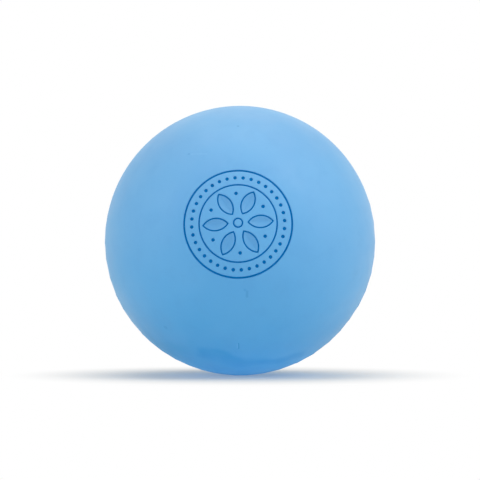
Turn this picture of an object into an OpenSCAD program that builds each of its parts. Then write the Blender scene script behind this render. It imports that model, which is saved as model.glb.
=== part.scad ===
// Lacrosse ball, in millimetres.
//
// A solid rubber core sits under a coloured rubber cover. The cover is two half shells that meet
// at the parting plane of their mould, where the flash has been trimmed down to a low bead.
// The front half carries a round sunk stamp, and a film of dark ink lies on the floor of its lines.
//
// The origin is the centre of the ball, and +Z is up. The front of the ball faces -Y, and the axis
// of its mould is tipped up a little, as the ball lies.

/* [Ball] */
// Diameter of the ball
ball_d = 63.5; // [62.7:0.1:64.7]
// Wall of the coloured cover
cover_wall = 6; // [3:0.5:12]
// Tilt of the mould axis above the level, in degrees
mould_tilt_deg = 7.3; // [0:0.1:30]
// Turn of the mould axis to the left of straight ahead, in degrees
mould_turn_deg = 0.8; // [-20:0.1:20]

/* [Parting line] */
// Height of the trimmed flash above the ball
flash_h = 0.15; // [0.05:0.05:0.3]
// Width of the trimmed flash at its foot, across both halves
flash_foot_w = 1; // [0.6:0.1:2]
// Width of its flat crown, across both halves
flash_crown_w = 0.3; // [0.1:0.1:0.5]

/* [Stamp] */
// Diameter of the outer ring, on the middle of its line
ring_d = 24.4; // [23:0.1:28]
// Diameter of the inner ring, on the middle of its line
inner_ring_d = 17.6; // [16:0.1:18.8]
// Width of the outer ring's line
ring_line_w = 0.4; // [0.3:0.05:0.6]
// Width of the other lines
fine_line_w = 0.34; // [0.2:0.02:0.4]
// Depth of the lines below the ball
groove_depth = 0.3; // [0.2:0.05:0.6]
// Depth of a carved petal, at the middle of its keel
keel_depth = 0.5; // [0.3:0.05:0.6]
// Turn of the whole stamp about its own axis, in degrees
stamp_roll_deg = 4; // [-180:1:180]
// Number of dots between the two rings
dot_count = 36; // [12:1:40]
// Diameter of one of these dots
dot_d = 0.8; // [0.5:0.1:1.2]
// Number of petals in the rosette
petal_count = 6; // [4:1:7]
// Width of a petal, on the middle of its line
petal_w = 2.8; // [2:0.1:3.2]
// Distance from the stamp's centre to a petal's inner tip
petal_root_r = 2.3; // [2.2:0.1:3]
// Space between a petal's outer tip and the inner ring
petal_tip_gap = 0.9; // [0.7:0.1:2]
// Diameter of the eye, on the middle of its line
eye_d = 2; // [1.2:0.1:2.4]

/* [Ink] */
// Thickness of the ink film on the floor of the lines
ink_t = 0.1; // [0.05:0.01:0.15]
// Space between the ink's edge and the side of its line
ink_edge_gap = 0.02; // [0.01:0.01:0.04]

/* [Hidden] */

$fn = 180;

ball_r = ball_d / 2;
core_r = ball_r - cover_wall;
groove_floor_r = ball_r - groove_depth;

// One overrun serves all cuts.
cut_over = 1;

// The stamp's lines are pressed straight in along its axis, so their walls run parallel to it.
stamp_reach_r = ring_d / 2 + ring_line_w;
stamp_base_z = sqrt(groove_floor_r * groove_floor_r - stamp_reach_r * stamp_reach_r) - cut_over;
dot_row_r = (ring_d + inner_ring_d) / 4;

petal_tip_r = inner_ring_d / 2 - petal_tip_gap;
petal_l = petal_tip_r - petal_root_r;

// Each petal is carved by two equal spheres, and their hollows meet in a keel along its middle.
// At the ball's surface both pass through the petal's two tips, and each one through one side.
// Seen from the ball's centre, the petal's middle leans from the stamp's axis by petal_lean_deg.
petal_inner_deg = asin(petal_root_r / ball_r);
petal_outer_deg = asin(petal_tip_r / ball_r);
petal_lean_deg = (petal_inner_deg + petal_outer_deg) / 2;
petal_half_deg = (petal_outer_deg - petal_inner_deg) / 2;
petal_half_l = ball_r * sin(petal_half_deg);
petal_half_w = petal_w / 2;

// How far the ball falls away from the petal's middle, out to its tips and to its sides.
tip_drop = ball_r * (1 - cos(petal_half_deg));
side_drop = ball_r - sqrt(ball_r * ball_r - petal_half_w * petal_half_w);

// Height of the spheres' centres above the ball and above the keel, and their shift to each side.
hollow_h = (pow(petal_half_l, 2) + pow(tip_drop, 2) - pow(keel_depth, 2))
    / (2 * (keel_depth - tip_drop));
hollow_reach = hollow_h + keel_depth;
hollow_shift = (pow(hollow_reach, 2) - pow(hollow_h + side_drop, 2) - pow(petal_half_w, 2)) / petal_w;
hollow_r = sqrt(pow(hollow_reach, 2) + pow(hollow_shift, 2));

// A spacer dot stands between each two petals, this share of the way along them.
spacer_share = 0.8;
spacer_r = petal_root_r + petal_l * spacer_share;

cover_colour = [0.36, 0.64, 0.87];
ink_colour = [0.02, 0.29, 0.52];
core_colour = [0.2, 0.2, 0.21];

// Turns what is built along +Z, the mould axis, to the way the ball lies.
module as_it_lies() {
    rotate([90 - mould_tilt_deg, 0, -mould_turn_deg])
        children();
}

// Flash bead round the ball: a low ridge with a flat crown, across the parting plane. Its sides
// slope from the crown through the foot, at the ball's surface, and end as far below as above it.
module flash_bead() {
    crown_z = flash_crown_w / 2;
    root_z = flash_foot_w - crown_z;
    rotate_extrude()
        polygon([
            [ball_r - flash_h, -root_z],
            [ball_r + flash_h, -crown_z],
            [ball_r + flash_h, crown_z],
            [ball_r - flash_h, root_z]
        ]);
}

// Half shell on the +Z side of the parting plane, with its half of the flash bead.
module half_shell() {
    cut_w = ball_d + 2 * (flash_h + cut_over);
    difference() {
        union() {
            sphere(ball_r);
            flash_bead();
        }
        sphere(core_r);
        translate([-cut_w / 2, -cut_w / 2, -cut_w])
            cube(cut_w);
    }
}

// The outlines below take a trim: how far each edge of a line is drawn in.
module ring_outline(d, line_w, trim) {
    difference() {
        circle(d = d + line_w - 2 * trim);
        circle(d = d - line_w + 2 * trim);
    }
}

module dots_outline(row_r, count, first_deg, trim) {
    for (i = [0 : count - 1])
        rotate(first_deg + i * 360 / count)
            translate([row_r, 0])
                circle(d = dot_d - 2 * trim);
}

// Pointed oval of two arcs, from the inner to the outer tip along X, grown by grow on its sides.
module petal_shape(grow) {
    arc_r = (petal_l * petal_l + petal_w * petal_w) / (4 * petal_w);
    middle_r = (petal_root_r + petal_tip_r) / 2;
    translate([middle_r, 0])
        intersection() {
            translate([0, arc_r - petal_w / 2])
                circle(arc_r + grow);
            translate([0, petal_w / 2 - arc_r])
                circle(arc_r + grow);
        }
}

module petal_outline(trim) {
    difference() {
        petal_shape(fine_line_w / 2 - trim);
        petal_shape(trim - fine_line_w / 2);
    }
}

module round_the_rosette() {
    for (i = [0 : petal_count - 1])
        rotate(i * 360 / petal_count)
            children();
}

// Every line and dot of the stamp, flat, as seen along its axis.
module stamp_outline(trim) {
    half_step_deg = 180 / petal_count;
    rotate(stamp_roll_deg) {
        ring_outline(ring_d, ring_line_w, trim);
        ring_outline(inner_ring_d, fine_line_w, trim);
        ring_outline(eye_d, fine_line_w, trim);
        dots_outline(dot_row_r, dot_count, 0, trim);
        dots_outline(spacer_r, petal_count, half_step_deg, trim);
        round_the_rosette()
            petal_outline(trim);
    }
}

// Extrudes a flat outline along the stamp's axis, from under the lines to clear of the ball.
module pressed() {
    translate([0, 0, stamp_base_z])
        linear_extrude(ball_r + cut_over - stamp_base_z)
            children();
}

// What the stamp takes out of the front half, down to a floor that follows the ball.
module line_grooves() {
    difference() {
        pressed()
            stamp_outline(0);
        sphere(groove_floor_r);
    }
}

// Sphere that carves one side of the petal along X, for side 1 or -1.
module hollow(side) {
    centre_r = ball_r + hollow_h;
    translate([centre_r * sin(petal_lean_deg), side * hollow_shift, centre_r * cos(petal_lean_deg)])
        sphere(hollow_r);
}

// The hollow of each petal, which runs out to nothing at its tips and sides.
module carved_petals() {
    rotate(stamp_roll_deg)
        round_the_rosette()
            intersection() {
                hollow(1);
                hollow(-1);
            }
}

// Solid core that gives the ball most of its weight.
module inner_core() {
    color(core_colour)
        as_it_lies()
            sphere(core_r);
}

// Front half of the cover, with the sunk stamp at its middle.
module front_cover() {
    color(cover_colour)
        as_it_lies()
            difference() {
                half_shell();
                carved_petals();
                line_grooves();
            }
}

// Rear half of the cover, which is plain.
module rear_cover() {
    color(cover_colour)
        as_it_lies()
            mirror([0, 0, 1])
                half_shell();
}

// Ink film on the floor of every line and dot, a separate patch in each.
module stamp_ink() {
    color(ink_colour)
        as_it_lies()
            difference() {
                intersection() {
                    pressed()
                        stamp_outline(ink_edge_gap);
                    sphere(groove_floor_r + ink_t);
                }
                sphere(groove_floor_r);
            }
}

inner_core();
front_cover();
rear_cover();
stamp_ink();
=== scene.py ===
"""Looks of the lacrosse ball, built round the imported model.

Everything is in metres, in the part's frame: the origin is the centre of the ball, +Z is up and the
stamped side faces -Y. Shapes are worked out in the mould's own frame, whose +Z runs out through
the middle of the stamp, and are turned into the part's frame when a mesh is made.
"""

import math

import bpy
import numpy as np
from mathutils import Matrix, Vector, noise
from mathutils.geometry import delaunay_2d_cdt


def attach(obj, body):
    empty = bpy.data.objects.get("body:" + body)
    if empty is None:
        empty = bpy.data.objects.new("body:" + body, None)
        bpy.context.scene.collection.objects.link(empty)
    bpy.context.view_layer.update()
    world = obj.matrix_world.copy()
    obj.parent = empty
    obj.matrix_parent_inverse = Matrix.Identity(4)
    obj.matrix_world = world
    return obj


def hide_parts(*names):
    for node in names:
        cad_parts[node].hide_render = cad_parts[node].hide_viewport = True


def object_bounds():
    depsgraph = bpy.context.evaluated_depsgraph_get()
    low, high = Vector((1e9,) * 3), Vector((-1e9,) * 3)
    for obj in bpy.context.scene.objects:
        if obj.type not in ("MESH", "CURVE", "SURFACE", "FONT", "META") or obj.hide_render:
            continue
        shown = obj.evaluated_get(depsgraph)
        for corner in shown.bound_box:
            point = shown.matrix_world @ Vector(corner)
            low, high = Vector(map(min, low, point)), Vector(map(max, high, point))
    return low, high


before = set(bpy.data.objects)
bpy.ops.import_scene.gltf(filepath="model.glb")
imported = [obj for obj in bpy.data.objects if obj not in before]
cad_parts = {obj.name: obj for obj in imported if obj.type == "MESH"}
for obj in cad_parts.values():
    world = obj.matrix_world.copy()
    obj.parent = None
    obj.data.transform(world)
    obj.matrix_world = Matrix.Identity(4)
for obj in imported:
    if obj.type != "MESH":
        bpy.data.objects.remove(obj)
CAD_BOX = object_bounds()


def screen(r, g, b):
    """A colour as a screen shows it, 0 to 255, in the shader's linear values."""
    shares = [c / 255 for c in (r, g, b)]
    values = [c / 12.92 if c <= 0.04045 else ((c + 0.055) / 1.055) ** 2.4 for c in shares]
    return (*values, 1)


MM = 0.001

# Ball
BALL_R = 31.75 * MM
COVER_WALL = 6 * MM
CORE_R = BALL_R - COVER_WALL
MOULD_TILT = math.radians(7.3)
MOULD_TURN = math.radians(0.8)

# Slight unevenness of the moulded surface: half its depth, and its waves to the ball's radius
SWELL = 0.03 * MM
SWELL_WAVES = 2.6

# Trimmed flash: half widths of its flat crown and its foot, a low height and its greatest height
FLASH_CROWN_HALF_W = 0.15 * MM
FLASH_FOOT_HALF_W = 0.5 * MM
FLASH_LOW_H = 0.05 * MM
FLASH_TOP_H = 0.16 * MM

# Straight cuts of the trimming knife round the ball: how many there are, and their lengths against
# each other. Each cut is lowest in its middle, where it lies off FLASH_LOW_H by a share of half the
# way from there to FLASH_TOP_H.
FLASH_SEED = 7
FLASH_CUTS = 52
FLASH_CUT_LENGTHS = (5, 9)
FLASH_RISE_SHARES = (-0.3, 1)

# Crack where the two halves meet, along the middle of the flash
CRACK_DEPTH = 0.05 * MM
CRACK_HALF_W = 0.03 * MM

# Stamp: radii to the middle of each ring's line, and the widths of the lines
RING_R = 12.2 * MM
INNER_RING_R = 8.8 * MM
EYE_R = 1 * MM
RING_LINE_W = 0.4 * MM
FINE_LINE_W = 0.34 * MM
GROOVE_DEPTH = 0.3 * MM
STAMP_ROLL = math.radians(4)
DOT_COUNT = 36
DOT_R = 0.4 * MM
DOT_ROW_R = (RING_R + INNER_RING_R) / 2

# Petals of the rosette, and the spacer dots between them
PETAL_COUNT = 6
PETAL_W = 2.8 * MM
PETAL_ROOT_R = 2.3 * MM
PETAL_TIP_GAP = 0.9 * MM
PETAL_TIP_R = INNER_RING_R - PETAL_TIP_GAP
PETAL_L = PETAL_TIP_R - PETAL_ROOT_R
SPACER_SHARE = 0.8
SPACER_R = PETAL_ROOT_R + PETAL_L * SPACER_SHARE

# Carving of the petals: depth at the middle of the keel, and how softly the two hollows meet there
KEEL_DEPTH = 0.5 * MM
KEEL_SOFT = 0.02 * MM

# Rounding of a groove's edge: a lip outside the drawn edge, which takes LIP_SHARE of the depth, and
# a steep wall inside it
LIP_W = 0.16 * MM
LIP_SHARE = 0.4
WALL_W = 0.05 * MM

# Ink film: its thickness in the middle of a line, and the depth of its top there
INK_T = 0.1 * MM
INK_TOP = GROOVE_DEPTH - INK_T

# The film creeps up the walls: distances in from the line's edge, and depths of its top there
INK_STEPS = ((0, 0.13 * MM), (0.025 * MM, 0.15 * MM), (0.05 * MM, 0.18 * MM), (0.1 * MM, INK_TOP))

# Unevenness of the film's top: the most that it rises or sinks, and the size of its lumps
INK_UNEVEN = 0.012 * MM
INK_LUMP = 1.5 * MM

# Points round the ball and along each shape of the stamp
SEGMENTS = 360
RING_POINTS = 288
INNER_RING_POINTS = 216
EYE_POINTS = 36
DOT_POINTS = 22
PETAL_ARC_POINTS = 26

# Rows of points along a groove's edges, by their distances outside the drawn edge
EDGE_STEPS = tuple(s * MM for s in (0.2, 0.16, 0.11, 0.07, 0.035, 0, -0.02, -0.035, -0.05, -0.12))

# Rows of points along each keel: how many are in a row, how far apart the rows are, and how far they
# reach each way from the petal's middle, as a share of its length
KEEL_POINTS = 15
KEEL_ROW_GAP = 0.12 * MM
KEEL_REACH_SHARE = 0.37

# The cap over each pole is a net that follows the stamp's edges. Its other points are CAP_STEP apart
# and keep CAP_CLEAR from those edges. Points closer than SAME_POINT_MM, in millimetres, are one.
CAP_R = 14.6 * MM
CAP_STEP = 0.7 * MM
CAP_CLEAR = 0.32 * MM
SAME_POINT_MM = 1e-6

# Rows of points from the cap to the flash are about BAND_STEP apart, and across the flash they lie
# at these distances from the parting plane
BAND_STEP = 0.9 * MM
FLASH_ROWS = tuple(
    s * MM for s in (0, 0.03, 0.07, 0.12, 0.15, 0.2, 0.26, 0.33, 0.4, 0.46, 0.52, 0.65, 0.9, 1.3)
)

# Rows of points over the hollow that the core fills
SEAT_ROWS = 15

# Colours of the cover, from its pigment and its painted light and shade to the painted shade along its
# bottom, and those of the ink and the core
# painted light and shade of the cover: bluer below, paler above, and deeper on the underside
PAINTED_SHADE_BLUE = screen(66, 176, 236)
PAINTED_LIGHT_BLUE = screen(98, 176, 234)
PAINTED_UNDERSIDE_SHADE_BLUE = screen(48, 172, 232)
CLOUD_BLUE = screen(97, 186, 240)
BLOTCH_BLUE = screen(70, 160, 224)
FLECK_BLUE = screen(30, 105, 160)
TRIMMED_BLUE = screen(58, 142, 205)
GRIME_BLUE = screen(38, 104, 168)
# painted shade in the stamp's recesses
RECESS_SHADE_BLUE = screen(50, 128, 192)
# painted shade along the bottom
BOTTOM_SHADE_BLUE = screen(20, 164, 229)
INK_BLUE = screen(0, 115, 185)
WORN_INK_BLUE = screen(2, 129, 201)
PALE_CRUMB = screen(72, 71, 74)
DARK_CRUMB = screen(44, 44, 46)

# Painted light and shade: the pigment drifts from a bluer blue below, which is painted shade, to a paler
# one above, which is painted light, between the first two levels, along an axis a little off the
# vertical. Between the other two it deepens once more, downwards, to a painted shade on the underside.
PAINTED_LIGHT_AXIS = Vector((0.2, 0, 1)).normalized()
PAINTED_LIGHT_LEVELS = (-34 * MM, 22 * MM)
UNDERSIDE_SHADE_LEVELS = (-27.5 * MM, -24.5 * MM)

# Unevenness of the pigment: the noise's waves to the metre, its detail and its roughness, the range
# of it over which the colour comes in, the colour's strength and the colour
PIGMENT_LAYERS = (
    (70, 3, 0.5, (0.35, 0.65), 0.25, CLOUD_BLUE),
    (240, 4, 0.6, (0.45, 0.75), 0.2, BLOTCH_BLUE),
    (5200, 2, 0.5, (0.62, 0.78), 0.16, FLECK_BLUE),
)

# Waves to the metre and reach of the noise that makes soft edges ragged
RUFFLE_WAVES = 110
RUFFLE_REACH = 7 * MM

# Dull band that the knife left beside the flash, whose half width varies along it
TRIMMED_WAVES = 900
TRIMMED_HALF_WIDTHS = (0.3 * MM, 0.5 * MM)
TRIMMED_STRENGTH = 0.35

# Patches of grime at the crack
GRIME_WAVES = 700
GRIME_HALF_W = 0.17 * MM
GRIME_STRENGTHS = (0.4, 0.95)

# Painted shade in the stamp's recesses: depths below the ball between which the rubber of the stamp turns
# to its darker shade
RECESS_SHADE_DEPTHS = (0.07 * MM, 0.12 * MM)
RECESS_SHADE_STRENGTH = 0.2

# Finest relief, which is bump only: waves or crumbs to the metre, and heights
PEEL_WAVES = 700
PEEL_H = 0.012 * MM
GRAIN_WAVES = 3600
GRAIN_H = 0.006 * MM
INK_GRAIN_WAVES = 5000
INK_GRAIN_H = 0.004 * MM
CRUMBS_TO_METRE = 900
CRUMB_H = 0.05 * MM

# Wear of the ink, and the roughness of each surface from its least to its greatest
INK_WEAR_WAVES = 1500
COVER_GLOSS_WAVES = 180
COVER_ROUGHNESS = (0.46, 0.54)
TRIMMED_ADDED_ROUGHNESS = 0.15
INK_GLOSS_WAVES = 4000
INK_ROUGHNESS = (0.5, 0.65)
CORE_GLOSS_WAVES = 600
CORE_ROUGHNESS = (0.75, 0.9)

# Camera, from the photograph's frame of 480 by 480 pixels, whose corner is at 0, 0
FRAME_PX = 480
OUTLINE_R_PX = 134.85
CENTRE_PX = (239.97, 240.57)
CAMERA_DISTANCE = 0.7
SENSOR_MM = 36
CLIP_START = 0.01
CLIP_END = 50
FOCAL_PX = OUTLINE_R_PX / math.tan(math.asin(BALL_R / CAMERA_DISTANCE))

# Places of the marks on the rubber, by the photograph's pixels
DARK_SPECK_PX = (237.5, 125.5)
LEFT_SPECK_PX = (188.4, 153.5)
HAIRLINE_START_PX = (191, 153.6)
HAIRLINE_END_PX = (206, 153.4)
SCUFF_HEAD_PX = (244.5, 289.5)
SCUFF_TOP_PX = (246.6, 291.2)
SCUFF_BOTTOM_PX = (246.4, 296)
FAR_SPECK_PX = (165, 327)
TICK_TOP_PX = (238, 343)
TICK_BOTTOM_PX = (238, 348)
TICK_EDGE_TOP_PX = (236.9, 343.5)
TICK_EDGE_BOTTOM_PX = (236.9, 347.5)
# places along the painted shade at the bottom
BOTTOM_SHADE_PX = ((204, 352), (222, 357), (246, 363), (268, 363), (297, 356))

# Painted shade along the bottom: a darker, bluer band whose strength varies
BOTTOM_SHADE_HALF_W = 0.4 * MM
BOTTOM_SHADE_FEATHER = 2.6 * MM
BOTTOM_SHADE_WAVES = 160
BOTTOM_SHADE_STRENGTHS = (0.6, 1)

# Marks: start, end, half width, feather, strength and colour. POINT_MARK keeps a point from having
# no length at all.
POINT_MARK = Vector((0.02 * MM, 0, 0))
MARKS = (
    (DARK_SPECK_PX, DARK_SPECK_PX, 0.16 * MM, 0.25 * MM, 1, screen(63, 158, 221)),
    (LEFT_SPECK_PX, LEFT_SPECK_PX, 0.16 * MM, 0.22 * MM, 1, screen(70, 161, 225)),
    (HAIRLINE_START_PX, HAIRLINE_END_PX, 0.12 * MM, 0.15 * MM, 1, screen(104, 181, 237)),
    (SCUFF_HEAD_PX, SCUFF_HEAD_PX, 0.2 * MM, 0.25 * MM, 1, screen(65, 165, 229)),
    (SCUFF_TOP_PX, SCUFF_BOTTOM_PX, 0.16 * MM, 0.25 * MM, 0.9, screen(62, 162, 225)),
    (FAR_SPECK_PX, FAR_SPECK_PX, 0.3 * MM, 0.4 * MM, 1, screen(57, 166, 228)),
    (TICK_TOP_PX, TICK_BOTTOM_PX, 0.1 * MM, 0.15 * MM, 1, screen(30, 156, 222)),
    (TICK_EDGE_TOP_PX, TICK_EDGE_BOTTOM_PX, 0.08 * MM, 0.12 * MM, 1, screen(92, 184, 241)),
)

# Floor, by distance from the ball's centre. Within SHADOW_R the camera sees it as lit, but for
# NEAR_WHITE_SHARE of plain white, and from WHITE_R outwards it sees plain white alone.
FLOOR_HALF_W = 6
FLOOR_COLOUR = (0.86, 0.86, 0.86, 1)
SHADOW_R = 0.036
WHITE_R = 0.065
NEAR_WHITE_SHARE = 0.2

# Pool of faint blue glow close under the ball, which lights its underside and which the camera
# doesn't see
POOL_GLOW = 0.28
POOL_TINT = (0.5, 0.92, 1, 1)
POOL_R = 0.033
POOL_END_R = 0.045

# Glow of the floor further out, which lights the ball from below on all sides
FAR_GLOW = 0.21
FAR_GLOW_START_R = 0.06
FAR_GLOW_FULL_R = 0.12

# Light of the world, and the soft lamps: name, place, side, watts and colour
WHITE = (1, 1, 1, 1)
WORLD_LIGHT = 0.22
PLAIN = (1, 1, 1)
WARM = (1, 0.95, 0.86)
COOL = (0.35, 0.65, 1)
LAMPS = (
    ("top_light", (0, 0, 0.8), 0.7, 2.7, WARM),
    ("top_right_light", (0.55, -0.2, 0.55), 0.5, 2.05, WARM),
    ("top_left_light", (-0.55, -0.2, 0.55), 0.5, 0.8, WARM),
    ("left_fill", (-0.85, -0.25, 0.2), 0.5, 1.1, PLAIN),
    ("right_fill", (0.85, -0.25, 0.2), 0.5, 0.75, PLAIN),
    ("low_front_fill", (0, -0.6, 0.02), 0.3, 0.75, COOL),
    ("back_light", (0, 0.6, 0.5), 0.5, 0.4, PLAIN),
)

MOULD_TO_PART = (
    Matrix.Rotation(-MOULD_TURN, 3, "Z") @ Matrix.Rotation(math.pi / 2 - MOULD_TILT, 3, "X")
)
MOULD_AXIS = MOULD_TO_PART @ Vector((0, 0, 1))


# Shapes of the stamp, flat, in the mould's frame


def smooth(t):
    """0 at and below 0, 1 at and above 1, and a smooth rise between."""
    t = np.clip(t, 0, 1)
    return t * t * (3 - 2 * t)


def turned(points, angle):
    """Flat points turned about the origin."""
    c = math.cos(angle)
    s = math.sin(angle)
    return points @ np.array([[c, s], [-s, c]])


class Round:
    """A circle, which a ring's line follows or a dot fills."""

    def __init__(self, r, count, centre=(0, 0)):
        self.r = r
        self.count = count
        self.centre = np.array(centre, float)

    def outline(self, grow):
        """A closed row of points round the circle, at that distance outside it."""
        t = np.linspace(0, 2 * math.pi, self.count, endpoint=False)
        return self.centre + (self.r + grow) * np.column_stack([np.cos(t), np.sin(t)])

    def distance(self, points):
        """Distance outside the circle, negative inside it."""
        return np.linalg.norm(points - self.centre, axis=1) - self.r


class Petal:
    """A pointed oval of two arcs, from its inner tip to its outer tip along one direction."""

    def __init__(self, angle):
        self.angle = angle
        self.arc_r = (PETAL_L**2 + PETAL_W**2) / (4 * PETAL_W)
        self.middle = np.array([(PETAL_TIP_R + PETAL_ROOT_R) / 2, 0])
        self.centre = np.array([0, self.arc_r - PETAL_W / 2])
        self.fit_hollows()

    def fit_hollows(self):
        """The two equal spheres that carve the petal: both reach its tips, and each one its side."""
        inner = math.asin(PETAL_ROOT_R / BALL_R)
        outer = math.asin(PETAL_TIP_R / BALL_R)
        lean = (inner + outer) / 2
        half_angle = (outer - inner) / 2
        half_l = BALL_R * math.sin(half_angle)
        half_w = PETAL_W / 2
        tip_drop = BALL_R * (1 - math.cos(half_angle))
        side_drop = BALL_R - math.sqrt(BALL_R**2 - half_w**2)
        above = (half_l**2 + tip_drop**2 - KEEL_DEPTH**2) / (2 * (KEEL_DEPTH - tip_drop))
        reach = above + KEEL_DEPTH
        self.hollow_y = (reach**2 - (above + side_drop) ** 2 - half_w**2) / (2 * half_w)
        self.hollow_r = math.hypot(reach, self.hollow_y)
        self.hollow_x = (BALL_R + above) * math.sin(lean)
        self.hollow_z = (BALL_R + above) * math.cos(lean)

    def depth(self, points):
        """Depth of the carved petal below the ball."""
        p = turned(points, -self.angle)
        floors = []
        for side in (-1, 1):
            away = (p[:, 0] - self.hollow_x) ** 2 + (p[:, 1] - side * self.hollow_y) ** 2
            floors.append(self.hollow_z - np.sqrt(np.maximum(self.hollow_r**2 - away, 0)))
        apart = np.hypot(floors[0] - floors[1], KEEL_SOFT)
        z = (floors[0] + floors[1] + apart) / 2
        return np.maximum(BALL_R - np.sqrt((p**2).sum(1) + z**2), 0)

    def keel_lines(self):
        """Rows of points along the keel and close beside it."""
        x = np.linspace(-1, 1, KEEL_POINTS) * PETAL_L * KEEL_REACH_SHARE
        rows = [np.column_stack([x, np.full(KEEL_POINTS, y)]) for y in (-KEEL_ROW_GAP, 0, KEEL_ROW_GAP)]
        return [turned(self.middle + row, self.angle) for row in rows]

    def near_keel(self, points):
        """Whether points would crowd the keel's rows, from tip to tip and a little beyond."""
        p = turned(points, -self.angle) - self.middle
        return (np.abs(p[:, 1]) < CAP_CLEAR + KEEL_ROW_GAP) & (np.abs(p[:, 0]) < PETAL_TIP_R / 2)

    def outline(self, grow):
        """A closed row of points round the petal, with its arcs at that distance outside it."""
        r = self.arc_r + grow
        half = math.acos(self.centre[1] / r)
        t = np.linspace(-half, half, PETAL_ARC_POINTS, endpoint=False)
        lower = np.column_stack([r * np.sin(t), self.centre[1] - r * np.cos(t)])
        return turned(self.middle + np.vstack([lower, -lower]), self.angle)

    def distance(self, points):
        """Distance outside the nearer arc, negative inside the petal."""
        p = turned(points, -self.angle) - self.middle
        above = np.linalg.norm(p - self.centre, axis=1)
        below = np.linalg.norm(p + self.centre, axis=1)
        return np.maximum(above, below) - self.arc_r


class Groove:
    """A line of the stamp that follows a shape, or a dot, which has no line and fills its shape."""

    def __init__(self, shape, line_w=0):
        self.shape = shape
        self.half_w = line_w / 2

    def edge_distance(self, points):
        """Distance from the groove's edge, negative inside it."""
        d = self.shape.distance(points)
        return np.abs(d) - self.half_w if self.half_w else d

    def edge_loops(self, steps):
        """Closed rows of points along the groove's edges, at these distances outside them."""
        outer = [self.shape.outline(self.half_w + s) for s in steps]
        if not self.half_w:
            return outer
        return outer + [self.shape.outline(-self.half_w - s) for s in steps]


def around(count, r, first=0.0):
    """Evenly spaced places on a circle, as (angle, flat point)."""
    angles = [first + STAMP_ROLL + 2 * math.pi * i / count for i in range(count)]
    return [(a, (r * math.cos(a), r * math.sin(a))) for a in angles]


def stamp_grooves():
    """Every line and dot of the stamp."""
    grooves = [
        Groove(Round(RING_R, RING_POINTS), RING_LINE_W),
        Groove(Round(INNER_RING_R, INNER_RING_POINTS), FINE_LINE_W),
        Groove(Round(EYE_R, EYE_POINTS), FINE_LINE_W),
    ]
    dots = around(DOT_COUNT, DOT_ROW_R) + around(PETAL_COUNT, SPACER_R, math.pi / PETAL_COUNT)
    grooves += [Groove(Round(DOT_R, DOT_POINTS, centre)) for _, centre in dots]
    grooves += [Groove(petal, FINE_LINE_W) for petal in PETALS]
    return grooves


PETALS = [Petal(angle) for angle, _ in around(PETAL_COUNT, 1)]
GROOVES = stamp_grooves()


def pressed_share(edge_distance):
    """How far down the die has pressed, from 0 on the ball to 1 on the floor."""
    on_lip = np.clip(1 - edge_distance / LIP_W, 0, 1) ** 2
    on_wall = smooth(-edge_distance / WALL_W)
    return LIP_SHARE * on_lip + (1 - LIP_SHARE) * on_wall


def stamp_depth(points):
    """Depth of the stamp below the ball at flat points."""
    depth = np.zeros(len(points))
    for petal in PETALS:
        depth = np.maximum(depth, petal.depth(points))
    for groove in GROOVES:
        depth = np.maximum(depth, GROOVE_DEPTH * pressed_share(groove.edge_distance(points)))
    return depth


# Surface of the ball


def with_swell(points):
    """Points drawn in towards the centre by the unevenness of the moulded surface."""
    unit = points / np.linalg.norm(points, axis=1)[:, None]
    swell = np.array([SWELL * (noise.noise(Vector(u) * SWELL_WAVES) - 1) for u in unit])
    return points * (1 + swell / BALL_R)[:, None]


def lift(flat, depth):
    """Flat points raised along the mould axis to that depth below the ball."""
    r = BALL_R - depth
    z = np.sqrt(r * r - (flat**2).sum(1))
    return np.column_stack([flat, z])


def flash_crown(angles):
    """Height of the flash round the ball, as short straight cuts of a trimming knife leave it."""
    rng = np.random.default_rng(FLASH_SEED)
    lengths = rng.uniform(*FLASH_CUT_LENGTHS, FLASH_CUTS)
    ends = np.cumsum(lengths) * 2 * math.pi / lengths.sum()
    rises = rng.uniform(*FLASH_RISE_SHARES, FLASH_CUTS)
    heights = FLASH_LOW_H + rises * (FLASH_TOP_H - FLASH_LOW_H) / 2
    cut = np.minimum(np.searchsorted(ends, angles, side="right"), FLASH_CUTS - 1)
    starts = np.concatenate([[0], ends[:-1]])
    middle = (starts[cut] + ends[cut]) / 2
    reach = (BALL_R + heights[cut]) / np.cos(angles - middle)
    return np.clip(reach - BALL_R, 0, FLASH_TOP_H)


def seam_height(angles, along):
    """Height above the ball at a distance along it from the parting plane."""
    slope = smooth((FLASH_FOOT_HALF_W - along) / (FLASH_FOOT_HALF_W - FLASH_CROWN_HALF_W))
    crack = CRACK_DEPTH * max(0, 1 - along / CRACK_HALF_W)
    return flash_crown(angles) * slope - crack


def latitude(angles, rise, r):
    """A closed row of points at an angle above the parting plane, at that distance from the centre."""
    across = r * math.cos(rise)
    up = r * math.sin(rise) * np.ones(len(angles))
    return np.column_stack([across * np.cos(angles), across * np.sin(angles), up])


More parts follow.
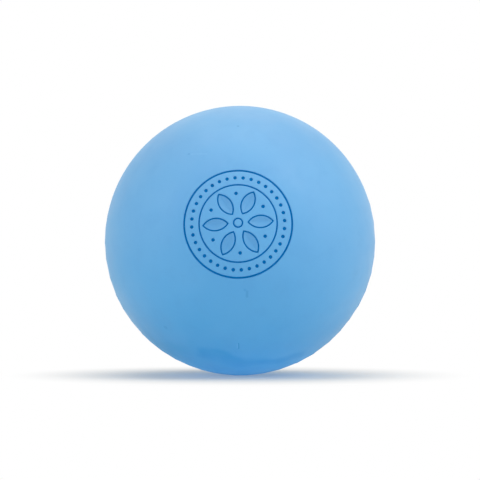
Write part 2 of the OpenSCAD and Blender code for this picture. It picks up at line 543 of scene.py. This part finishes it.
class Shell:
    """Points and faces of one piece, in the mould's frame."""

    def __init__(self):
        self.points = []
        self.faces = []
        self.sharp = set()

    def add(self, points):
        """Keeps the points and gives their numbers."""
        first = len(self.points)
        self.points.extend(map(tuple, points))
        return list(range(first, first + len(points)))

    def bridge(self, low, high):
        """Faces between two closed rows of as many points, outward if high lies above low."""
        count = len(low)
        for i in range(count):
            j = (i + 1) % count
            self.faces.append((low[i], low[j], high[j], high[i]))

    def fan(self, row, tip):
        """Three-sided faces from a closed row to one point."""
        for i in range(len(row)):
            self.faces.append((row[i], row[(i + 1) % len(row)], tip))

    def mark_sharp(self, row):
        """The edges along a closed row stay crisp."""
        self.sharp.update(frozenset((row[i - 1], row[i])) for i in range(len(row)))

    def mirrored(self):
        """The same piece on the other side of the parting plane."""
        other = Shell()
        other.points = [(x, y, -z) for x, y, z in self.points]
        other.faces = [tuple(reversed(f)) for f in self.faces]
        other.sharp = set(self.sharp)
        return other

    def to_object(self, name):
        """A smooth-shaded mesh object in the part's frame."""
        mesh = bpy.data.meshes.new(name)
        mesh.from_pydata([MOULD_TO_PART @ Vector(p) for p in self.points], [], self.faces)
        mesh.polygons.foreach_set("use_smooth", [True] * len(mesh.polygons))
        for edge in mesh.edges:
            if frozenset(edge.vertices) in self.sharp:
                edge.use_edge_sharp = True
        mesh.validate()
        mesh.update()
        obj = bpy.data.objects.new(name, mesh)
        bpy.context.scene.collection.objects.link(obj)
        return obj


def band_steps():
    """Distances of the band's rows from the parting plane, close together over the flash."""
    last = FLASH_ROWS[-1]
    end = BALL_R * math.acos(CAP_R / BALL_R)
    count = round((end - last) / BAND_STEP)
    return list(FLASH_ROWS) + list(np.linspace(last, end, count + 1)[1:-1])


def add_band(shell, angles):
    """The outside from the parting plane to the cap. Gives its first and its last row."""
    rows = []
    for along in band_steps():
        r = BALL_R + seam_height(angles, along)
        rows.append(shell.add(with_swell(latitude(angles, along / BALL_R, r))))
    rim = lift(CAP_R * np.column_stack([np.cos(angles), np.sin(angles)]), 0)
    rows.append(shell.add(with_swell(rim)))
    for low, high in zip(rows, rows[1:]):
        shell.bridge(low, high)
    return rows[0], rows[-1]


def cap_fill(grooves):
    """Even flat points over the cap that keep clear of its edge, the grooves' edges and the keels."""
    reach = math.ceil(CAP_R / CAP_STEP) + 1
    rows = np.arange(-reach, reach + 1)
    x, y = np.meshgrid(rows, rows)
    grid = np.column_stack([(x + (y % 2) / 2).ravel(), (y * math.sqrt(3) / 2).ravel()]) * CAP_STEP
    keep = np.linalg.norm(grid, axis=1) < CAP_R - CAP_CLEAR
    for groove in grooves:
        keep &= np.abs(groove.edge_distance(grid)) > CAP_CLEAR
    if grooves:
        for petal in PETALS:
            keep &= ~petal.near_keel(grid)
    return grid[keep]


def row_edges(loops, lines):
    """Edges along closed and then open rows of points, which are numbered through in that order."""
    edges = []
    first = 0
    for loop in loops:
        count = len(loop)
        edges += [(first + i, first + (i + 1) % count) for i in range(count)]
        first += count
    for line in lines:
        edges += [(first + i, first + i + 1) for i in range(len(line) - 1)]
        first += len(line)
    return edges


def add_cap(shell, rim, grooves):
    """Closes the shell over its pole with a net that follows the edges of the grooves."""
    loops = [np.array([shell.points[i][:2] for i in rim])]
    for groove in grooves:
        loops += groove.edge_loops(EDGE_STEPS)
    keels = [line for petal in PETALS for line in petal.keel_lines()] if grooves else []
    given = np.vstack(loops + keels + [cap_fill(grooves)]) / MM
    net = delaunay_2d_cdt([Vector(p) for p in given], row_edges(loops, keels), [], 0, SAME_POINT_MM)
    net_points, _, net_faces, sources, _, _ = net
    flat = np.array([tuple(p) for p in net_points]) * MM
    depth = stamp_depth(flat) if grooves else np.zeros(len(flat))
    raised = with_swell(lift(flat, depth))
    number = {}
    for i, given_as in enumerate(sources):
        on_rim = [s for s in given_as if s < len(rim)]
        number[i] = rim[on_rim[0]] if on_rim else shell.add([raised[i]])[0]
    shell.faces += [tuple(number[i] for i in face) for face in net_faces]


def add_core_seat(shell, angles, parting_row):
    """The parting face and the hollow that the core fills. Gives the hollow's first row."""
    rises = np.linspace(0, math.pi / 2, SEAT_ROWS, endpoint=False)
    rows = [shell.add(latitude(angles, rise, CORE_R)) for rise in rises]
    shell.bridge(rows[0], parting_row)
    for low, high in zip(rows, rows[1:]):
        shell.bridge(high, low)
    pole = shell.add([(0, 0, CORE_R)])[0]
    shell.fan(list(reversed(rows[-1])), pole)
    return rows[0]


def half_shell(grooves):
    """One half of the cover: outside with its flash and stamp, parting face, and the core's seat."""
    shell = Shell()
    angles = np.linspace(0, 2 * math.pi, SEGMENTS, endpoint=False)
    parting_row, rim = add_band(shell, angles)
    add_cap(shell, rim, grooves)
    seat_row = add_core_seat(shell, angles, parting_row)
    shell.mark_sharp(parting_row)
    shell.mark_sharp(seat_row)
    return shell


def ink_surface(flat, depth):
    """Flat points raised to the ink at about that depth, slightly uneven."""
    lumps = [noise.noise(Vector((x, y, 0)) / INK_LUMP) for x, y in flat]
    return with_swell(lift(flat, depth + INK_UNEVEN * np.array(lumps)))


def ink_rows(shell, groove, side):
    """Rows of points up one edge of a groove's ink, from its foot to the flat of its top."""
    section = ((WALL_W, GROOVE_DEPTH), *INK_STEPS)
    return [shell.add(ink_surface(groove.edge_loops([-inset])[side], depth)) for inset, depth in section]


def add_line_ink(shell, groove, outer):
    """Closes the ink of a line, from the rows at its outer edge over to those at its inner edge."""
    inner = ink_rows(shell, groove, 1)
    shell.bridge(outer[-1], inner[-1])
    for low, high in zip(inner, inner[1:]):
        shell.bridge(high, low)
    shell.bridge(inner[0], outer[0])


def add_dot_ink(shell, groove, outer):
    """Closes the ink of a dot over its middle."""
    centre = np.array([groove.shape.centre])
    tip = shell.add(ink_surface(centre, INK_TOP))[0]
    shell.fan(outer[-1], tip)
    foot = shell.add(with_swell(lift(centre, np.array([GROOVE_DEPTH]))))[0]
    shell.fan(list(reversed(outer[0])), foot)


def ink_film():
    """A patch of ink in every line and dot, each a closed solid on the groove's floor."""
    shell = Shell()
    for groove in GROOVES:
        outer = ink_rows(shell, groove, 0)
        for low, high in zip(outer, outer[1:]):
            shell.bridge(low, high)
        if groove.half_w:
            add_line_ink(shell, groove, outer)
        else:
            add_dot_ink(shell, groove, outer)
    return shell


# Materials. Noise is sized by its waves to the metre.


class Nodes:
    """Short calls to build a node tree."""

    def __init__(self, name):
        self.material = bpy.data.materials.new(name)
        self.material.use_nodes = True
        self.tree = self.material.node_tree
        self.shader = self.tree.nodes["Principled BSDF"]

    def node(self, kind, **settings):
        made = self.tree.nodes.new(kind)
        for key, value in settings.items():
            setattr(made, key, value)
        return made

    def put(self, socket, value):
        """Links an output to a socket, or sets the socket's own value."""
        if isinstance(value, bpy.types.NodeSocket):
            self.tree.links.new(value, socket)
        else:
            socket.default_value = value

    def shade(self, **values):
        """Puts values on the shader's sockets, whose names have spaces for the underscores here."""
        for name, value in values.items():
            self.put(self.shader.inputs[name.replace("_", " ")], value)

    def place(self):
        """The point on the ball, in metres."""
        return self.node("ShaderNodeTexCoord").outputs["Object"]

    def noise_node(self, vector, waves):
        made = self.node("ShaderNodeTexNoise")
        self.put(made.inputs["Vector"], vector)
        self.put(made.inputs["Scale"], waves)
        return made

    def noise(self, vector, waves, detail=2.0, roughness=0.5):
        made = self.noise_node(vector, waves)
        self.put(made.inputs["Detail"], detail)
        self.put(made.inputs["Roughness"], roughness)
        return made.outputs["Fac"]

    def ruffled(self, vector, waves, reach):
        """Points shifted unevenly, by up to half of reach each way."""
        shift = self.vector("SUBTRACT", self.noise_node(vector, waves).outputs["Color"], (0.5, 0.5, 0.5))
        return self.vector("ADD", vector, self.vector("MULTIPLY", shift, (reach, reach, reach)))

    def ramp(self, value, low, high, to_low=0.0, to_high=1.0):
        """The value's range low to high, spread smoothly over to_low to to_high."""
        made = self.node("ShaderNodeMapRange", interpolation_type="SMOOTHSTEP")
        self.put(made.inputs["Value"], value)
        self.put(made.inputs["From Min"], low)
        self.put(made.inputs["From Max"], high)
        self.put(made.inputs["To Min"], to_low)
        self.put(made.inputs["To Max"], to_high)
        return made.outputs["Result"]

    def uneven(self, vector, waves, low, high, detail=2.0, roughness=0.5):
        """Noise from 0.3 to 0.7, where most of it lies, spread smoothly over low to high."""
        return self.ramp(self.noise(vector, waves, detail, roughness), 0.3, 0.7, low, high)

    def math(self, operation, a, b=0.0):
        made = self.node("ShaderNodeMath", operation=operation)
        self.put(made.inputs[0], a)
        self.put(made.inputs[1], b)
        return made.outputs[0]

    def vector(self, operation, a, b, output="Vector"):
        made = self.node("ShaderNodeVectorMath", operation=operation)
        self.put(made.inputs[0], a)
        self.put(made.inputs[1], b)
        return made.outputs[output]

    def dot(self, a, b):
        return self.vector("DOT_PRODUCT", a, b, "Value")

    def length(self, vector):
        made = self.node("ShaderNodeVectorMath", operation="LENGTH")
        self.put(made.inputs[0], vector)
        return made.outputs["Value"]

    def scaled(self, vector, factor):
        made = self.node("ShaderNodeVectorMath", operation="SCALE")
        self.put(made.inputs[0], vector)
        self.put(made.inputs["Scale"], factor)
        return made.outputs["Vector"]

    def mix(self, factor, a, b):
        made = self.node("ShaderNodeMix", data_type="RGBA")
        self.put(made.inputs["Factor"], factor)
        self.put(made.inputs["A"], a)
        self.put(made.inputs["B"], b)
        return made.outputs["Result"]

    def tint(self, colour, mask, strength, towards):
        """The colour drawn towards another where the mask is, at most by strength."""
        return self.mix(self.math("MULTIPLY", mask, strength), colour, towards)

    def bump(self, relief, height, after=None):
        """The normal over relief of that height, in metres, laid over another normal if given."""
        made = self.node("ShaderNodeBump")
        self.put(made.inputs["Height"], relief)
        self.put(made.inputs["Distance"], height)
        self.put(made.inputs["Strength"], 1.0)
        if after:
            self.put(made.inputs["Normal"], after)
        return made.outputs["Normal"]


def seen_at(pixel):
    """The point on the front of the ball that the photograph shows at the middle of that pixel."""
    across = (pixel[0] + 0.5 - CENTRE_PX[0]) / FOCAL_PX
    down = (pixel[1] + 0.5 - CENTRE_PX[1]) / FOCAL_PX
    eye = Vector((0, -CAMERA_DISTANCE, 0))
    ray = Vector((across, 1, -down)).normalized()
    near = -eye.dot(ray)
    return eye + ray * (near - math.sqrt(max(0, BALL_R**2 - (eye.length_squared - near**2))))


def mark_mask(n, place, start, end, half_w, feather):
    """A mask of 1 within half_w of the stretch from start to end, faded over feather."""
    along = end - start
    from_start = n.vector("SUBTRACT", place, start)
    share = n.math("DIVIDE", n.dot(from_start, along), along.length_squared)
    share = n.math("MINIMUM", n.math("MAXIMUM", share, 0), 1)
    away = n.vector("SUBTRACT", from_start, n.scaled(along, share))
    return n.ramp(n.length(away), half_w, half_w + feather, 1, 0)


def pigment_and_painted_light(n, place, ruffled):
    """Blue with painted light and shade, paler above and deeper below and on the underside, with faint
    clouds, blotches and fine flecks.
    """
    # painted light and shade: paler above, bluer below, deeper still on the underside
    painted_light = n.ramp(n.dot(place, PAINTED_LIGHT_AXIS), *PAINTED_LIGHT_LEVELS)
    colour = n.mix(painted_light, PAINTED_SHADE_BLUE, PAINTED_LIGHT_BLUE)
    underside_shade = n.ramp(n.dot(ruffled, PAINTED_LIGHT_AXIS), *UNDERSIDE_SHADE_LEVELS, 1, 0)
    colour = n.mix(underside_shade, colour, PAINTED_UNDERSIDE_SHADE_BLUE)
    for waves, detail, roughness, shown, strength, towards in PIGMENT_LAYERS:
        mask = n.ramp(n.noise(place, waves, detail, roughness), *shown)
        colour = n.tint(colour, mask, strength, towards)
    return colour


def trimmed_band(n, place, off_seam):
    """A mask of the dull band beside the flash, whose edge wavers."""
    half_w = n.uneven(place, TRIMMED_WAVES, *TRIMMED_HALF_WIDTHS, detail=4, roughness=0.6)
    return n.ramp(n.math("DIVIDE", off_seam, half_w), 0.4, 1.2, 1, 0)


def with_seam(n, place, colour, off_seam, trimmed):
    """The trimmed band's dull blue, and patches of grime along the crack."""
    colour = n.tint(colour, trimmed, TRIMMED_STRENGTH, TRIMMED_BLUE)
    grime = n.ramp(off_seam, CRACK_HALF_W, GRIME_HALF_W, 1, 0)
    strength = n.ramp(n.noise(place, GRIME_WAVES, detail=3), 0.3, 0.65, *GRIME_STRENGTHS)
    return n.tint(colour, grime, strength, GRIME_BLUE)


def with_painted_recess_shade(n, place, colour):
    """Painted shade on the rubber that the stamp has pressed down, which is slightly darker."""
    shallow, deep = RECESS_SHADE_DEPTHS
    recess_shade = n.ramp(n.length(place), BALL_R - deep, BALL_R - shallow, 1, 0)
    return n.tint(colour, recess_shade, RECESS_SHADE_STRENGTH, RECESS_SHADE_BLUE)


def with_painted_bottom_shade(n, place, ruffled, colour):
    """Painted shade: a soft darker, bluer band along the bottom."""
    bottom_shade = 0
    for start, end in zip(BOTTOM_SHADE_PX, BOTTOM_SHADE_PX[1:]):
        stretch = mark_mask(n, ruffled, seen_at(start), seen_at(end), BOTTOM_SHADE_HALF_W, BOTTOM_SHADE_FEATHER)
        bottom_shade = n.math("MAXIMUM", bottom_shade, stretch)
    strength = n.ramp(n.noise(place, BOTTOM_SHADE_WAVES, detail=3), 0.3, 0.6, *BOTTOM_SHADE_STRENGTHS)
    return n.tint(colour, bottom_shade, strength, BOTTOM_SHADE_BLUE)


def with_marks(n, place, colour):
    """The small specks, hairline, scuff and tick."""
    for start, end, half_w, feather, strength, towards in MARKS:
        mask = mark_mask(n, place, seen_at(start), seen_at(end) + POINT_MARK, half_w, feather)
        colour = n.tint(colour, mask, strength, towards)
    return colour


def cover_material():
    """Smooth matte blue rubber with faint mottling, fine grain, a dull seam and a few marks, and painted
    light and shade: paler above, bluer below, and darker in the stamp's recesses and along the bottom.
    """
    n = Nodes("cover_rubber")
    place = n.place()
    ruffled = n.ruffled(place, RUFFLE_WAVES, RUFFLE_REACH)
    off_seam = n.math("ABSOLUTE", n.dot(place, MOULD_AXIS))
    trimmed = trimmed_band(n, place, off_seam)
    colour = pigment_and_painted_light(n, place, ruffled)
    colour = with_seam(n, place, colour, off_seam, trimmed)
    colour = with_painted_recess_shade(n, place, colour)
    colour = with_painted_bottom_shade(n, place, ruffled, colour)
    colour = with_marks(n, place, colour)
    roughness = n.uneven(place, COVER_GLOSS_WAVES, *COVER_ROUGHNESS, detail=3)
    roughness = n.math("ADD", roughness, n.math("MULTIPLY", trimmed, TRIMMED_ADDED_ROUGHNESS))
    normal = n.bump(n.noise(place, PEEL_WAVES), PEEL_H)
    normal = n.bump(n.noise(place, GRAIN_WAVES, detail=3, roughness=0.6), GRAIN_H, after=normal)
    n.shade(Base_Color=colour, Roughness=roughness, Normal=normal)
    n.shade(Specular_IOR_Level=0.6, Sheen_Weight=0.13, Sheen_Roughness=0.8)
    return n.material


def ink_material():
    """Dried dark blue ink, slightly thin in places."""
    n = Nodes("stamp_ink")
    place = n.place()
    wear = n.ramp(n.noise(place, INK_WEAR_WAVES, detail=3), 0.35, 0.8)
    roughness = n.uneven(place, INK_GLOSS_WAVES, *INK_ROUGHNESS)
    normal = n.bump(n.noise(place, INK_GRAIN_WAVES), INK_GRAIN_H)
    n.shade(Base_Color=n.mix(wear, INK_BLUE, WORN_INK_BLUE), Roughness=roughness, Normal=normal)
    n.shade(Specular_IOR_Level=0.03)
    return n.material


def core_material():
    """Dark reclaimed rubber with pale and dark crumbs."""
    n = Nodes("core_rubber")
    place = n.place()
    crumb = n.node("ShaderNodeTexVoronoi")
    n.put(crumb.inputs["Vector"], place)
    n.put(crumb.inputs["Scale"], CRUMBS_TO_METRE)
    from_middle = crumb.outputs["Distance"]
    colour = n.mix(n.ramp(from_middle, 0.1, 0.7), PALE_CRUMB, DARK_CRUMB)
    roughness = n.uneven(place, CORE_GLOSS_WAVES, *CORE_ROUGHNESS, detail=3)
    n.shade(Base_Color=colour, Roughness=roughness, Normal=n.bump(from_middle, CRUMB_H))
    return n.material


def finish_piece(piece, material, slot, *nodes):
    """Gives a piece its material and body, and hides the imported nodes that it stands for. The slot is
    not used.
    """
    piece.data.materials.clear()
    piece.data.materials.append(material)
    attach(piece, "root")
    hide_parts(*nodes)


def build_ball():
    cover = cover_material()
    front = half_shell(GROOVES).to_object("front_half_shell")
    rear = half_shell([]).mirrored().to_object("rear_half_shell")
    film = ink_film().to_object("stamp_ink_film")
    finish_piece(front, cover, "cover_rubber", "front_cover")
    finish_piece(rear, cover, "cover_rubber", "rear_cover")
    finish_piece(film, ink_material(), "stamp_ink", "stamp_ink")
    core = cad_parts["inner_core"]
    core.data.materials.clear()
    core.data.materials.append(core_material())


# Floor, lights and camera


def white_to_camera(tree, lit, white_share=None):
    """A shader that the camera and reflections see as plain white, and other rays as lit.

    With white_share, the camera and reflections see that share of white, and the rest as lit.
    """
    path = tree.nodes.new("ShaderNodeLightPath")
    seen = path.outputs["Is Camera Ray"]
    for name in ("Is Glossy Ray", "Is Transmission Ray"):
        add = tree.nodes.new("ShaderNodeMath")
        add.operation = "MAXIMUM"
        tree.links.new(seen, add.inputs[0])
        tree.links.new(path.outputs[name], add.inputs[1])
        seen = add.outputs[0]
    if white_share:
        share = tree.nodes.new("ShaderNodeMath")
        share.operation = "MULTIPLY"
        tree.links.new(seen, share.inputs[0])
        tree.links.new(white_share, share.inputs[1])
        seen = share.outputs[0]
    white = tree.nodes.new("ShaderNodeEmission")
    white.inputs["Strength"].default_value = 1
    mix = tree.nodes.new("ShaderNodeMixShader")
    tree.links.new(seen, mix.inputs["Fac"])
    tree.links.new(lit, mix.inputs[1])
    tree.links.new(white.outputs["Emission"], mix.inputs[2])
    return mix.outputs[0]


def floor_glow(n, distance):
    """Strength and colour of the floor's glow: the blue pool under the ball, and the plain far part."""
    unseen = n.math("SUBTRACT", 1, n.node("ShaderNodeLightPath").outputs["Is Camera Ray"])
    pool = n.math("MULTIPLY", unseen, n.ramp(distance, POOL_R, POOL_END_R, POOL_GLOW, 0))
    far = n.ramp(distance, FAR_GLOW_START_R, FAR_GLOW_FULL_R, 0, FAR_GLOW)
    colour = n.mix(n.math("GREATER_THAN", pool, 0), WHITE, POOL_TINT)
    return n.math("ADD", pool, far), colour


def floor_material():
    """Matte pale floor, white to the camera except round the ball, where it keeps the shadow."""
    n = Nodes("floor_white")
    distance = n.length(n.place())
    strength, colour = floor_glow(n, distance)
    n.shade(Base_Color=FLOOR_COLOUR, Roughness=0.9, Specular_IOR_Level=0)
    n.shade(Emission_Color=colour, Emission_Strength=strength)
    white_share = n.ramp(distance, SHADOW_R, WHITE_R, NEAR_WHITE_SHARE, 1)
    seen = white_to_camera(n.tree, n.shader.outputs["BSDF"], white_share)
    n.tree.links.new(seen, n.tree.nodes["Material Output"].inputs["Surface"])
    return n.material


def build_floor():
    corners = ((-1, -1), (1, -1), (1, 1), (-1, 1))
    points = [(x * FLOOR_HALF_W, y * FLOOR_HALF_W, CAD_BOX[0].z) for x, y in corners]
    mesh = bpy.data.meshes.new("floor")
    mesh.from_pydata(points, [], [(0, 1, 2, 3)])
    mesh.materials.append(floor_material())
    floor = bpy.data.objects.new("floor", mesh)
    bpy.context.scene.collection.objects.link(floor)


def build_world():
    world = bpy.data.worlds.new("studio")
    bpy.context.scene.world = world
    world.use_nodes = True
    tree = world.node_tree
    light = tree.nodes["Background"]
    light.inputs["Color"].default_value = WHITE
    light.inputs["Strength"].default_value = WORLD_LIGHT
    seen = white_to_camera(tree, light.outputs["Background"])
    tree.links.new(seen, tree.nodes["World Output"].inputs["Surface"])


def build_lamp(name, place, side, watts, colour):
    """A square soft lamp that faces the ball's centre."""
    data = bpy.data.lights.new(name, "AREA")
    data.shape = "SQUARE"
    data.size = side
    data.energy = watts
    data.color = colour
    lamp = bpy.data.objects.new(name, data)
    lamp.location = place
    lamp.rotation_euler = (-Vector(place)).to_track_quat("-Z", "Y").to_euler()
    bpy.context.scene.collection.objects.link(lamp)


def build_camera():
    """A level camera, moved just off the ball's centre to put the outline where the photograph has it."""
    data = bpy.data.cameras.new("camera")
    data.sensor_width = SENSOR_MM
    data.lens = FOCAL_PX * SENSOR_MM / FRAME_PX
    data.clip_start = CLIP_START
    data.clip_end = CLIP_END
    camera = bpy.data.objects.new("camera", data)
    per_pixel = CAMERA_DISTANCE / FOCAL_PX
    off_x = (FRAME_PX / 2 - CENTRE_PX[0]) * per_pixel
    off_z = (CENTRE_PX[1] - FRAME_PX / 2) * per_pixel
    camera.location = (off_x, -CAMERA_DISTANCE, off_z)
    camera.rotation_euler = (math.pi / 2, 0, 0)
    bpy.context.scene.collection.objects.link(camera)
    bpy.context.scene.camera = camera


build_camera()
build_ball()
build_floor()
build_world()
for lamp_settings in LAMPS:
    build_lamp(*lamp_settings)
bpy.context.scene.view_settings.view_transform = "Standard"
